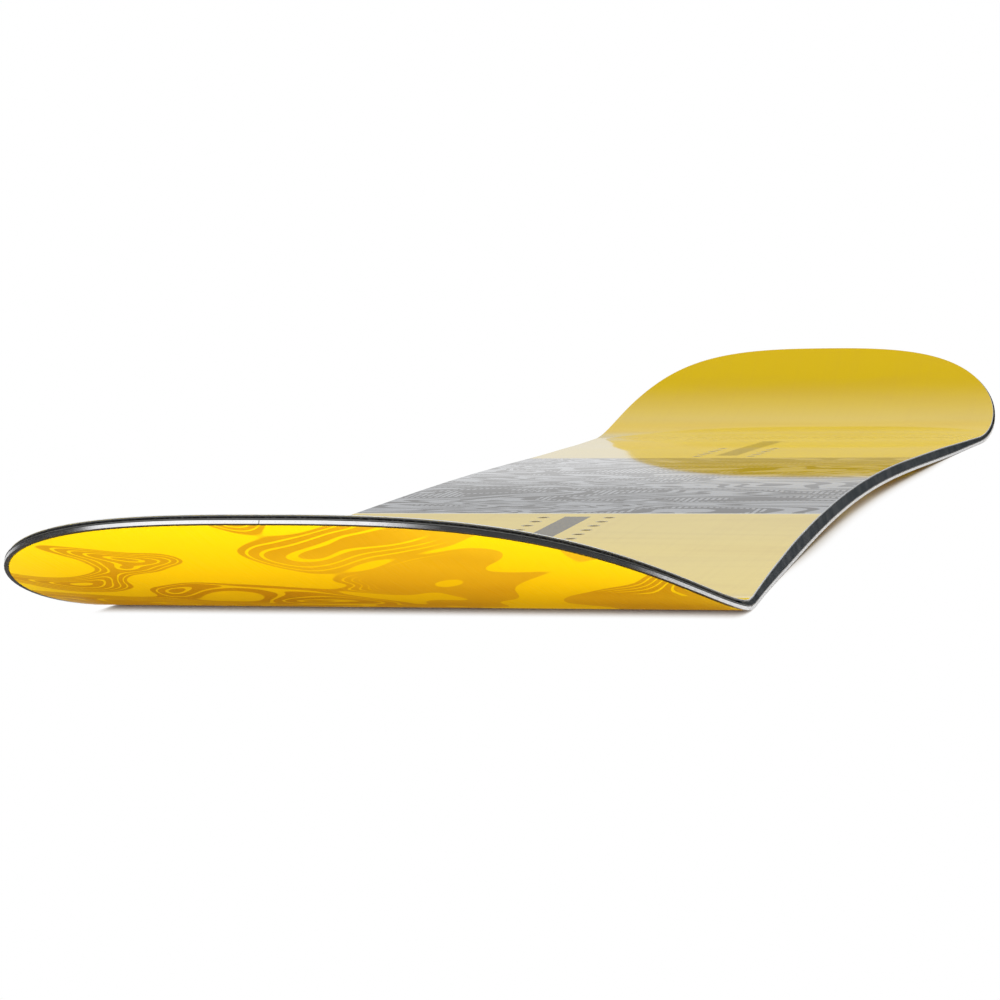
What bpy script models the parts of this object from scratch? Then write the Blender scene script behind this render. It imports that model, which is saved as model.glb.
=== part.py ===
"""A wide directional snowboard, laid up as the real one is: base and steel edges, a glass laminate,
a core of glued wood strips between sidewalls and tip fills, threaded binding inserts, a second
laminate and the topsheet.

Metres, +Z up. The nose points to -Y, the tail to +Y, and the board rests on its base at z = 0.
Each layer is drawn flat, as if the board had no curve, and is then pressed over the side profile
as it is in the mould: cut across at every station of the profile and bent there."""

import math

import bmesh
import bpy
from mathutils import Matrix, Vector
from mathutils.geometry import interpolate_bezier

# Outline, seen from above: a sidecut between the contact points and a rounded tip at each end
BOARD_LENGTH = 1.520
WAIST_HALF_WIDTH = 0.1404
WAIST_Y = 0.085
NOSE_SIDECUT_RADIUS = 7.0
TAIL_SIDECUT_RADIUS = 6.3
NOSE_SHOULDER = 0.250
NOSE_BLUNTNESS = 0.093
TAIL_SHOULDER = 0.190
TAIL_BLUNTNESS = 0.130
TIP_FLAT_HALF = 0.006

# Side profile of the base: a kick at each end, two flat stretches and the camber between the feet
NOSE_KICK_LENGTH = 0.262
TAIL_KICK_LENGTH = 0.211
NOSE_FLAT_LENGTH = 0.138
TAIL_FLAT_LENGTH = 0.079
CAMBER_HEIGHT = 0.0059
NOSE_BEND_RADIUS = 0.21
NOSE_BEND_LENGTH = 0.030
NOSE_SWEEP_RADIUS = 0.945
TAIL_BEND_RADIUS = 0.405
TAIL_BEND_LENGTH = 0.141
TAIL_SWEEP_RADIUS = 0.25

# Thickness of the finished board under each foot and at the tips, and where the thinning ends
FRONT_THICKNESS = 0.0098
REAR_THICKNESS = 0.0086
TIP_THICKNESS = 0.0049
NOSE_THINNING_RUN_ON = 0.025
TAIL_THINNING_RUN_ON = 0.030

# The layers between
BOND_LINE = 0.0002
BASE_THICKNESS = 0.0012
GLASS_THICKNESS = 0.0004
TOPSHEET_THICKNESS = 0.0004

# Steel edge: a square rail with a toothed flange, which the laminate locks on to the base
EDGE_HEIGHT = 0.0019
EDGE_WIDTH = 0.0020
FLANGE_THICKNESS = 0.0005
FLANGE_ROOT = 0.0036
FLANGE_REACH = 0.0065
TOOTH_PITCH = 0.040
TOOTH_GAP = 0.012
EDGE_JOINT_GAP = 0.0003
EDGE_TO_BASE_GAP = 0.0003

# Where the bottom laminate comes down from the flange to the base
STEP_MARGIN = 0.0003
STEP_WIDTH = 0.0012

# Sidewalls, tip fills and core
SIDEWALL_WIDTH = 0.0090
SIDEWALL_LEAN = 0.0013
BUTT_JOINT = 0.0003
NOSE_FILL_DEPTH = 0.085
TAIL_FILL_DEPTH = 0.070
STRIP_WIDTH = 0.020
GLUE_LINE = 0.0002

# Binding inserts: two packs of two rows
STANCE_WIDTH = 0.570
STANCE_CENTRE_Y = 0.055
PACK_COLUMNS = 6
PACK_PITCH = 0.020
ROW_SPACING = 0.040
PACK_MARGIN = 0.012
INSERT_SIDES = 8
INSERT_FLANGE_RADIUS = 0.0080
INSERT_FLANGE_HEIGHT = 0.0010
INSERT_BARREL_RADIUS = 0.0046
INSERT_BORE_RADIUS = 0.0025
INSERT_FLOOR = 0.0010
INSERT_CLEARANCE = 0.0003
DECK_HOLE_RADIUS = 0.0036

# How finely the curves are divided
TIP_POINTS = 14
CORE_END_POINTS = 10
BEND_FACETS = 3
SWEEP_FACETS = 6
LONGEST_FACET = 0.095
SNAP = 0.00002
CUT_THROUGH = 0.05

# Finishes: colour, roughness, metallic
TOPSHEET_FINISH = ((0.80, 0.62, 0.10), 0.12, 0.0)
GLASS_FINISH = ((0.06, 0.06, 0.06), 0.55, 0.0)
SIDEWALL_FINISH = ((0.02, 0.02, 0.024), 0.50, 0.0)
BASE_FINISH = ((0.90, 0.55, 0.02), 0.30, 0.0)
STEEL_FINISH = ((0.62, 0.62, 0.64), 0.25, 1.0)
POPLAR_FINISH = ((0.72, 0.56, 0.36), 0.60, 0.0)
ASH_FINISH = ((0.55, 0.38, 0.21), 0.60, 0.0)

# Heights above the underside of the base. The upper ones are those at full thickness.
FULL_THICKNESS = max(FRONT_THICKNESS, REAR_THICKNESS)
FLANGE_BOTTOM = EDGE_HEIGHT - FLANGE_THICKNESS
GLASS_LOW = BASE_THICKNESS + BOND_LINE
GLASS_HIGH = EDGE_HEIGHT + BOND_LINE
CORE_BOTTOM = GLASS_LOW + GLASS_THICKNESS + BOND_LINE
WALL_BOTTOM = GLASS_HIGH + GLASS_THICKNESS + BOND_LINE
TOPSHEET_BOTTOM = FULL_THICKNESS - TOPSHEET_THICKNESS
TOP_GLASS_BOTTOM = TOPSHEET_BOTTOM - BOND_LINE - GLASS_THICKNESS
CORE_TOP = TOP_GLASS_BOTTOM - BOND_LINE
INSERT_FLANGE_TOP = CORE_BOTTOM + INSERT_FLANGE_HEIGHT
THINNING_START = max(WALL_BOTTOM, INSERT_FLANGE_TOP + BOND_LINE)

# Insets from the outline, and places along the board
STEP_OUTER = FLANGE_REACH + STEP_MARGIN
STEP_INNER = STEP_OUTER + STEP_WIDTH
CORE_INSET = SIDEWALL_WIDTH + BUTT_JOINT
BASE_INSET = EDGE_WIDTH + EDGE_TO_BASE_GAP
TIP_Y = BOARD_LENGTH / 2
NOSE_CONTACT_Y = -TIP_Y + NOSE_KICK_LENGTH
TAIL_CONTACT_Y = TIP_Y - TAIL_KICK_LENGTH
CAMBER_START_Y = NOSE_CONTACT_Y + NOSE_FLAT_LENGTH
CAMBER_END_Y = TAIL_CONTACT_Y - TAIL_FLAT_LENGTH
PACK_CENTRES = {
    "front": STANCE_CENTRE_Y - STANCE_WIDTH / 2,
    "rear": STANCE_CENTRE_Y + STANCE_WIDTH / 2,
}
PACK_HALF_LENGTH = (PACK_COLUMNS - 1) * PACK_PITCH / 2
PAD_HALF_LENGTH = PACK_HALF_LENGTH + PACK_MARGIN


def clear_scene():
    for item in list(bpy.data.objects):
        bpy.data.objects.remove(item, do_unlink=True)


def mixed(low, high, share):
    return low + (high - low) * share


def held(share):
    return min(max(share, 0.0), 1.0)


# Side profile

def arc_rise(run, radius):
    return radius - math.sqrt(radius * radius - run * run)


def kick_height(run, bend_radius, bend_length, sweep_radius):
    """Rise of the base at a distance past the contact point: a bend, then a wider sweep."""
    if run <= 0:
        return 0.0
    if run <= bend_length:
        return arc_rise(run, bend_radius)
    slope = bend_length / bend_radius
    start = sweep_radius * slope
    rise = arc_rise(run - bend_length + start, sweep_radius) - arc_rise(start, sweep_radius)
    return arc_rise(bend_length, bend_radius) + rise


def base_height(y):
    nose = kick_height(NOSE_CONTACT_Y - y, NOSE_BEND_RADIUS, NOSE_BEND_LENGTH, NOSE_SWEEP_RADIUS)
    tail = kick_height(y - TAIL_CONTACT_Y, TAIL_BEND_RADIUS, TAIL_BEND_LENGTH, TAIL_SWEEP_RADIUS)
    middle = (CAMBER_START_Y + CAMBER_END_Y) / 2
    half = (CAMBER_END_Y - CAMBER_START_Y) / 2
    share = min(abs(y - middle) / half, 1.0)
    return nose + tail + CAMBER_HEIGHT * (1 - share * share) ** 2


def pads():
    """The two flat stretches that hold the inserts, as (start, end)."""
    return [(y - PAD_HALF_LENGTH, y + PAD_HALF_LENGTH) for y in PACK_CENTRES.values()]


def divided(start, end, parts):
    return [mixed(start, end, step / parts) for step in range(parts)]


def station_places():
    """Every place along the board where the profile turns, from nose to tail."""
    nose_sweep = NOSE_CONTACT_Y - NOSE_BEND_LENGTH
    tail_sweep = TAIL_CONTACT_Y + TAIL_BEND_LENGTH
    places = divided(-TIP_Y, nose_sweep, SWEEP_FACETS) + divided(nose_sweep, NOSE_CONTACT_Y, BEND_FACETS)
    flat_pads = pads()
    turns = [NOSE_CONTACT_Y, CAMBER_START_Y, CAMBER_END_Y, TAIL_CONTACT_Y]
    turns = [y for y in turns if not any(start < y < end for start, end in flat_pads)]
    turns = sorted(turns + [y for pad in flat_pads for y in pad])
    for start, end in zip(turns, turns[1:]):
        on_pad = (start, end) in flat_pads
        places += divided(start, end, 1 if on_pad else math.ceil((end - start) / LONGEST_FACET))
    places += divided(TAIL_CONTACT_Y, tail_sweep, 2 * BEND_FACETS)
    return places + divided(tail_sweep, TIP_Y, SWEEP_FACETS - 2) + [TIP_Y]


def mitred_normals(points):
    """The direction in which thickness is measured at each station, long enough for the mitre."""
    runs = [(after - before).normalized() for before, after in zip(points, points[1:])]
    normals = [Vector((-run.y, run.x)) for run in runs]
    mitres = []
    for before, after in zip(normals[:1] + normals, normals + normals[-1:]):
        middle = (before + after).normalized()
        mitres.append(middle / middle.dot(after))
    return mitres


STATIONS = [Vector((y, base_height(y))) for y in station_places()]
MITRES = mitred_normals(STATIONS)


def facet_at(y):
    """The profile facet that holds y, and how far along it y lies."""
    last = len(STATIONS) - 2
    facet = next((i for i in range(last) if y <= STATIONS[i + 1].x), last)
    start, end = STATIONS[facet].x, STATIONS[facet + 1].x
    return facet, (y - start) / (end - start)


def station_thickness(y):
    """Board thickness at a station: thin tips, and a core that is full under both feet."""
    (front_start, front_end), (rear_start, rear_end) = pads()
    if y <= front_start:
        thin_y = NOSE_CONTACT_Y - NOSE_THINNING_RUN_ON
        return mixed(TIP_THICKNESS, FRONT_THICKNESS, held((y - thin_y) / (front_start - thin_y)))
    if y >= rear_end:
        thin_y = TAIL_CONTACT_Y + TAIL_THINNING_RUN_ON
        return mixed(TIP_THICKNESS, REAR_THICKNESS, held((thin_y - y) / (thin_y - rear_end)))
    share = held((y - front_end) / (rear_start - front_end))
    return mixed(FRONT_THICKNESS, REAR_THICKNESS, share)


THICKNESSES = [station_thickness(station.x) for station in STATIONS]


def on_board(point):
    """Moves a point of the flat layers to its place on the curved board."""
    facet, share = facet_at(point.y)
    height = point.z
    if height > THINNING_START + SNAP:
        height -= FULL_THICKNESS - mixed(THICKNESSES[facet], THICKNESSES[facet + 1], share)
    foot = STATIONS[facet].lerp(STATIONS[facet + 1], share)
    mitre = MITRES[facet].lerp(MITRES[facet + 1], share)
    place = foot + mitre * height
    return Vector((point.x, place.x, place.y))


# Outline

def sidecut_slope(y):
    """How fast the half width grows with distance from the waist."""
    radius = NOSE_SIDECUT_RADIUS if y < WAIST_Y else TAIL_SIDECUT_RADIUS
    return (y - WAIST_Y) / radius


def sidecut_half_width(y):
    return WAIST_HALF_WIDTH + (y - WAIST_Y) * sidecut_slope(y) / 2


def tip_points(contact_y, side, shoulder, bluntness):
    """The right half of one tip's outline, from the end of the sidecut to the tip."""
    start = Vector((sidecut_half_width(contact_y), contact_y))
    along = Vector((side * sidecut_slope(contact_y), side)).normalized()
    end = Vector((TIP_FLAT_HALF, side * TIP_Y))
    corner = Vector((bluntness, side * TIP_Y))
    return interpolate_bezier(start, start + shoulder * along, corner, end, TIP_POINTS)


def right_outline():
    """The right half of the board's outline, from nose to tail."""
    nose = tip_points(NOSE_CONTACT_Y, -1, NOSE_SHOULDER, NOSE_BLUNTNESS)
    tail = tip_points(TAIL_CONTACT_Y, 1, TAIL_SHOULDER, TAIL_BLUNTNESS)
    middle = [s.x for s in STATIONS if NOSE_CONTACT_Y + SNAP < s.x < TAIL_CONTACT_Y - SNAP]
    return nose[::-1] + [Vector((sidecut_half_width(y), y)) for y in middle] + tail


RIGHT_OUTLINE = right_outline()
NOSE_WIDEST = max((p for p in RIGHT_OUTLINE if p.y < WAIST_Y), key=lambda p: p.x)
TAIL_WIDEST = max((p for p in RIGHT_OUTLINE if p.y > WAIST_Y), key=lambda p: p.x)


def inset_outline(inset):
    """The right half of the outline drawn in by inset, which keeps the sidecut's stations."""
    points = []
    last = len(RIGHT_OUTLINE) - 1
    for i, point in enumerate(RIGHT_OUTLINE):
        run = (RIGHT_OUTLINE[min(i + 1, last)] - RIGHT_OUTLINE[max(i - 1, 0)]).normalized()
        normal = Vector((run.y, -run.x))
        if i in (0, last):
            normal = Vector((0, -1 if i == 0 else 1))
        if NOSE_CONTACT_Y - SNAP < point.y < TAIL_CONTACT_Y + SNAP:
            normal = Vector((1 / normal.x, 0))
        points.append(point - inset * normal)
    return points


def whole_outline(right):
    """Both halves of an outline, anticlockwise from the nose."""
    return right + [Vector((-point.x, point.y)) for point in reversed(right)]


def core_end(widest, depth, clearance):
    """The right half of the core's rounded end, from the widest station to the middle."""
    side = 1 if widest.y > WAIST_Y else -1
    across = widest.x - CORE_INSET + clearance
    along = TIP_Y - abs(widest.y) - depth + clearance
    points = []
    for step in range(CORE_END_POINTS):
        angle = math.pi / 2 * step / CORE_END_POINTS
        points.append(Vector((across * math.cos(angle), widest.y + side * along * math.sin(angle))))
    return points


def core_outline(clearance=0.0):
    """The core seen from above, grown by the clearance."""
    nose = core_end(NOSE_WIDEST, NOSE_FILL_DEPTH, clearance)
    tail = core_end(TAIL_WIDEST, TAIL_FILL_DEPTH, clearance)
    wall = inset_outline(CORE_INSET - clearance)
    sides = [p for p in wall if NOSE_WIDEST.y + SNAP < p.y < TAIL_WIDEST.y - SNAP]
    return whole_outline(nose[::-1] + sides + tail)


# Modelling helpers, all on flat layers

def lofted(rings, closed):
    """A solid through rings of (x, y, z) points: closed on itself, or capped at both ends."""
    bm = bmesh.new()
    loops = [[bm.verts.new(point) for point in ring] for ring in rings]
    pairs = list(zip(loops, loops[1:]))
    if closed:
        pairs.append((loops[-1], loops[0]))
    else:
        bm.faces.new(loops[0])
        bm.faces.new(loops[-1])
    for lower, upper in pairs:
        for i, vert in enumerate(lower):
            bm.faces.new((lower[i - 1], vert, upper[i], upper[i - 1]))
    bmesh.ops.recalc_face_normals(bm, faces=bm.faces)
    return bm


def rim_solid(section, closed=False):
    """Sweeps a section of (inset, height) points round the whole outline."""
    rings = [[(x, y, z) for x, y in whole_outline(inset_outline(inset))] for inset, z in section]
    return lofted(rings, closed)


def plate(outline, bottom, top):
    return lofted([[(x, y, z) for x, y in outline] for z in (bottom, top)], False)


def turned(bm, x, y, profile):
    """Adds a solid turned about the upright line at x, y, from (radius, height) points."""
    verts = [bm.verts.new((x + radius, y, height)) for radius, height in profile]
    edges = [bm.edges.new(pair) for pair in zip(verts, verts[1:])]
    bmesh.ops.spin(bm, geom=verts + edges, cent=(x, y, 0), axis=(0, 0, 1), dvec=(0, 0, 0),
                   angle=math.tau, steps=INSERT_SIDES, use_merge=True)
    open_edges = [edge for edge in bm.edges if edge.is_boundary]
    bmesh.ops.edgeloop_fill(bm, edges=open_edges)
    bmesh.ops.recalc_face_normals(bm, faces=bm.faces)


def cut_off(bm, point, normal):
    """Removes what lies beyond a plane and closes the cut."""
    geometry = bm.verts[:] + bm.edges[:] + bm.faces[:]
    cut = bmesh.ops.bisect_plane(bm, geom=geometry, dist=SNAP, plane_co=point, plane_no=normal,
                                 clear_outer=True)
    edges = [item for item in cut["geom_cut"] if isinstance(item, bmesh.types.BMEdge)]
    bmesh.ops.edgeloop_fill(bm, edges=edges)


def carved(bm, cutter):
    """The mesh less the cutter's bodies. Both are used up."""
    objects = []
    for solid in (bm, cutter):
        mesh = bpy.data.meshes.new("carving")
        solid.to_mesh(mesh)
        solid.free()
        objects.append(bpy.data.objects.new("carving", mesh))
        bpy.context.collection.objects.link(objects[-1])
    body, tool = objects
    modifier = body.modifiers.new("Carve", "BOOLEAN")
    modifier.operation = "DIFFERENCE"
    modifier.object = tool
    evaluated = body.evaluated_get(bpy.context.evaluated_depsgraph_get())
    result = bmesh.new()
    result.from_mesh(evaluated.to_mesh())
    for item in objects:
        bpy.data.objects.remove(item, do_unlink=True)
    bmesh.ops.dissolve_limit(result, angle_limit=0.0005, verts=result.verts, edges=result.edges)
    return result


def pressed(bm):
    """Bends a flat layer over the side profile."""
    for station in STATIONS[1:-1]:
        geometry = bm.verts[:] + bm.edges[:] + bm.faces[:]
        bmesh.ops.bisect_plane(bm, geom=geometry, dist=SNAP, plane_co=(0, station.x, 0),
                               plane_no=(0, 1, 0))
    for vert in bm.verts:
        vert.co = on_board(vert.co)
    bmesh.ops.triangulate(bm, faces=bm.faces)
    return bm


def finish_material(name, finish):
    material = bpy.data.materials.get(name)
    if material is None:
        colour, roughness, metallic = finish
        material = bpy.data.materials.new(name)
        material.use_nodes = True
        shader = material.node_tree.nodes["Principled BSDF"]
        shader.inputs["Base Color"].default_value = (*colour, 1)
        shader.inputs["Roughness"].default_value = roughness
        shader.inputs["Metallic"].default_value = metallic
        material.diffuse_color = (*colour, 1)
    return material


def add_piece(name, bm, material_name, finish):
    """Presses a flat layer and makes it a named piece."""
    pressed(bm)
    mesh = bpy.data.meshes.new(name)
    bm.to_mesh(mesh)
    bm.free()
    mesh.materials.append(finish_material(material_name, finish))
    mesh.shade_smooth()
    mesh.set_sharp_from_angle(angle=math.radians(30))
    piece = bpy.data.objects.new(name, mesh)
    bpy.context.collection.objects.link(piece)
    return piece


# The pieces, from the snow up

def make_base():
    section = [(BASE_INSET, 0), (BASE_INSET, BASE_THICKNESS)]
    add_piece("base_sheet", rim_solid(section), "sintered base", BASE_FINISH)


def tooth_gap_places():
    """Centres and directions of the gaps between teeth, along the right half of the outline."""
    places = []
    reach = TOOTH_PITCH / 2
    for start, end in zip(RIGHT_OUTLINE, RIGHT_OUTLINE[1:]):
        run = end - start
        while reach <= run.length:
            places.append((start + run.normalized() * reach, run.normalized()))
            reach += TOOTH_PITCH
        reach -= run.length
    return places


def tooth_gap_cutter():
    """Blocks that cut the flange into teeth, and stop short of the rail."""
    bm = bmesh.new()
    depth = 2 * (FLANGE_REACH - FLANGE_ROOT)
    height = 3 * FLANGE_THICKNESS
    for place, run in tooth_gap_places():
        centre = place + (FLANGE_ROOT + depth / 2) * Vector((-run.y, run.x))
        for side in (1, -1):
            turn = Matrix.Rotation(math.atan2(run.y, side * run.x), 4, "Z")
            middle = (side * centre.x, centre.y, FLANGE_BOTTOM + FLANGE_THICKNESS / 2)
            block = Matrix.Translation(middle) @ turn @ Matrix.Diagonal((TOOTH_GAP, depth, height, 1))
            bmesh.ops.create_cube(bm, size=1, matrix=block)
    return bm


def make_steel_edges():
    section = [
        (0, 0),
        (EDGE_WIDTH, 0),
        (EDGE_WIDTH, FLANGE_BOTTOM),
        (FLANGE_REACH, FLANGE_BOTTOM),
        (FLANGE_REACH, EDGE_HEIGHT),
        (0, EDGE_HEIGHT),
    ]
    whole = carved(rim_solid(section, closed=True), tooth_gap_cutter())
    for name, side in (("steel_edge_right", 1), ("steel_edge_left", -1)):
        half = whole.copy()
        cut_off(half, (side * EDGE_JOINT_GAP / 2, 0, 0), (-side, 0, 0))
        add_piece(name, half, "edge steel", STEEL_FINISH)
    whole.free()


def make_bottom_laminate():
    """Lies high over the edge flange and comes down to the base inside it."""
    section = [
        (STEP_INNER, GLASS_LOW),
        (STEP_OUTER, GLASS_HIGH),
        (0, GLASS_HIGH),
        (0, GLASS_HIGH + GLASS_THICKNESS),
        (STEP_OUTER, GLASS_HIGH + GLASS_THICKNESS),
        (STEP_INNER, GLASS_LOW + GLASS_THICKNESS),
    ]
    add_piece("bottom_fiberglass", rim_solid(section), "glass laminate", GLASS_FINISH)


def make_sidewalls():
    section = [
        (0, WALL_BOTTOM),
        (SIDEWALL_WIDTH, WALL_BOTTOM),
        (SIDEWALL_WIDTH, CORE_TOP),
        (SIDEWALL_LEAN, CORE_TOP),
    ]
    for name, side in (("sidewall_right", 1), ("sidewall_left", -1)):
        wall = rim_solid(section, closed=True)
        cut_off(wall, (0, NOSE_WIDEST.y, 0), (0, -1, 0))
        cut_off(wall, (0, TAIL_WIDEST.y, 0), (0, 1, 0))
        cut_off(wall, (0, 0, 0), (-side, 0, 0))
        add_piece(name, wall, "sidewall plastic", SIDEWALL_FINISH)


def make_tip_fills():
    """Crescents between the rounded ends of the core and the tips."""
    section = [
        (STEP_INNER, CORE_BOTTOM),
        (STEP_OUTER, WALL_BOTTOM),
        (0, WALL_BOTTOM),
        (SIDEWALL_LEAN, CORE_TOP),
    ]
    for name, widest, side in (("nose_tip_fill", NOSE_WIDEST, 1), ("tail_tip_fill", TAIL_WIDEST, -1)):
        fill = rim_solid(section)
        cut_off(fill, (0, widest.y - side * BUTT_JOINT, 0), (0, side, 0))
        core_space = plate(core_outline(BUTT_JOINT), CORE_BOTTOM - CUT_THROUGH, CORE_TOP + CUT_THROUGH)
        add_piece(name, carved(fill, core_space), "tip fill plastic", SIDEWALL_FINISH)


def insert_places():
    """Pack name, number and place of each insert."""
    places = []
    for pack, centre_y in PACK_CENTRES.items():
        for column in range(PACK_COLUMNS):
            y = centre_y - PACK_HALF_LENGTH + column * PACK_PITCH
            for row, x in enumerate((-ROW_SPACING / 2, ROW_SPACING / 2)):
                places.append((pack, 2 * column + row + 1, x, y))
    return places


def insert_hole_cutter():
    """Counterbores for the flanges, and clear holes for the barrels."""
    barrel = INSERT_BARREL_RADIUS + INSERT_CLEARANCE
    flange = INSERT_FLANGE_RADIUS + INSERT_CLEARANCE
    shoulder = INSERT_FLANGE_TOP + BOND_LINE
    bm = bmesh.new()
    for _, _, x, y in insert_places():
        profile = [
            (flange, CORE_BOTTOM - CUT_THROUGH),
            (flange, shoulder),
            (barrel, shoulder),
            (barrel, CORE_TOP + CUT_THROUGH),
        ]
        turned(bm, x, y, profile)
    return bm


def make_core():
    """Wood strips glued side by side, drilled for the inserts, with hard strips under the edges."""
    core = carved(plate(core_outline(), CORE_BOTTOM, CORE_TOP), insert_hole_cutter())
    narrowest = WAIST_HALF_WIDTH - CORE_INSET
    side_strips = int((narrowest - STRIP_WIDTH / 2) / STRIP_WIDTH)
    for number in range(-side_strips, side_strips + 1):
        strip = core.copy()
        middle = number * STRIP_WIDTH
        half = (STRIP_WIDTH - GLUE_LINE) / 2
        if number < side_strips:
            cut_off(strip, (middle + half, 0, 0), (1, 0, 0))
        if number > -side_strips:
            cut_off(strip, (middle - half, 0, 0), (-1, 0, 0))
        hard = abs(number) == side_strips
        name = f"core_strip_{number + side_strips + 1:02d}"
        if hard:
            add_piece(name, strip, "ash strip", ASH_FINISH)
        else:
            add_piece(name, strip, "poplar strip", POPLAR_FINISH)
    core.free()


def make_inserts():
    """Flanged steel nuts with a blind threaded bore, flush with the core."""
    profile = [
        (INSERT_FLANGE_RADIUS, CORE_BOTTOM),
        (INSERT_FLANGE_RADIUS, INSERT_FLANGE_TOP),
        (INSERT_BARREL_RADIUS, INSERT_FLANGE_TOP),
        (INSERT_BARREL_RADIUS, CORE_TOP),
        (INSERT_BORE_RADIUS, CORE_TOP),
        (INSERT_BORE_RADIUS, CORE_BOTTOM + INSERT_FLOOR),
    ]
    for pack, number, x, y in insert_places():
        bm = bmesh.new()
        turned(bm, x, y, profile)
        add_piece(f"insert_{pack}_{number:02d}", bm, "insert steel", STEEL_FINISH)


def deck_hole_cutter():
    bm = bmesh.new()
    for _, _, x, y in insert_places():
        heights = (TOP_GLASS_BOTTOM - CUT_THROUGH, FULL_THICKNESS + CUT_THROUGH)
        turned(bm, x, y, [(DECK_HOLE_RADIUS, height) for height in heights])
    return bm


def make_top_layers():
    """The upper laminate and the topsheet, drilled through to the inserts."""
    layers = [
        ("top_fiberglass", TOP_GLASS_BOTTOM, TOP_GLASS_BOTTOM + GLASS_THICKNESS, "glass laminate",
         GLASS_FINISH),
        ("topsheet", TOPSHEET_BOTTOM, FULL_THICKNESS, "topsheet plastic", TOPSHEET_FINISH),
    ]
    for name, bottom, top, material, finish in layers:
        sheet = rim_solid([(SIDEWALL_LEAN, bottom), (SIDEWALL_LEAN, top)])
        add_piece(name, carved(sheet, deck_hole_cutter()), material, finish)


clear_scene()
make_base()
make_steel_edges()
make_bottom_laminate()
make_sidewalls()
make_tip_fills()
make_core()
make_inserts()
make_top_layers()
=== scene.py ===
"""Looks of a wide directional snowboard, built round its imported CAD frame.

Every layer that shows is swept along the board's outline as a flat layer and then bent over the
side profile, from the same sizes as the CAD solids but with fine curves."""

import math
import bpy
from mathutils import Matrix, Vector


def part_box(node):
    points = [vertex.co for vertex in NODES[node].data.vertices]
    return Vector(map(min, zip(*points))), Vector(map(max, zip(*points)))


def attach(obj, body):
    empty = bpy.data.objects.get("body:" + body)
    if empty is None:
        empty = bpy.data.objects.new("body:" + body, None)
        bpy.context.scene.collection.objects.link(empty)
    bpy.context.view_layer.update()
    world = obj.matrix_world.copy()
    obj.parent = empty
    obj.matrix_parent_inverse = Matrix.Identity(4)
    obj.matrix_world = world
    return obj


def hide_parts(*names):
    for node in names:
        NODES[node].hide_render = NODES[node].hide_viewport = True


bl_info = {
    "name": "Snowboard looks",
    "version": (1, 0, 0),
    "blender": (4, 5, 0),
    "location": "View3D > Sidebar > Snowboard",
    "description": "Builds the layers, finishes and studio of a snowboard round its CAD frame",
    "category": "Object",
}

import bmesh
import bpy
from bpy.props import FloatProperty, FloatVectorProperty, IntProperty, PointerProperty
from mathutils import Matrix, Vector
from mathutils.geometry import interpolate_bezier

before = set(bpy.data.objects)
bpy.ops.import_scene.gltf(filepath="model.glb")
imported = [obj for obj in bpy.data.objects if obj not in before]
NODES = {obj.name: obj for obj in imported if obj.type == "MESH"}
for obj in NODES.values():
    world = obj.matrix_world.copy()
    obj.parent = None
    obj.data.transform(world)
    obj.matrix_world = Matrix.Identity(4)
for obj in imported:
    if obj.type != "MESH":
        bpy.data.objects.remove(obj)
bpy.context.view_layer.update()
CORE_STRIPS = sorted(name for name in NODES if name.startswith("core_strip"))
HARD_STRIPS = (CORE_STRIPS[0], CORE_STRIPS[-1])

BODY = "root"

# Steps, tolerances and one tool of the modelling, with lengths in metres

SLOPE_STEP = 0.0005
HEIGHT_TOLERANCE = 0.00002
WELD_DISTANCE = 0.000001
SHARP_ANGLE = math.radians(32)
HOLE_STEPS = 32
INSERT_STEPS = 24
FILL_STEPS = 96
FILL_CUTTER_HEIGHT = 0.1

# The thread of an insert: air at its two ends, and where in each turn its root lies

THREAD_LEAD_IN = 0.0002
THREAD_RUN_OUT = 0.0008
THREAD_ROOT = (0.4, 0.6)

# A face of the topsheet is part of the print if its normal rises this much

PRINTED_RISE = 0.9

# Nearly all of a noise lies between these

NOISE_RANGE = (0.3, 0.7)


def length(name, default, description):
    return FloatProperty(name=name, default=default, description=description, subtype="DISTANCE",
                         unit="LENGTH", precision=5)


def colour(name, default, description):
    return FloatVectorProperty(name=name, default=default, description=description, subtype="COLOR",
                               size=3, min=0.0, max=1.0)


# Settings: sizes, places and colours that can be changed

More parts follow.
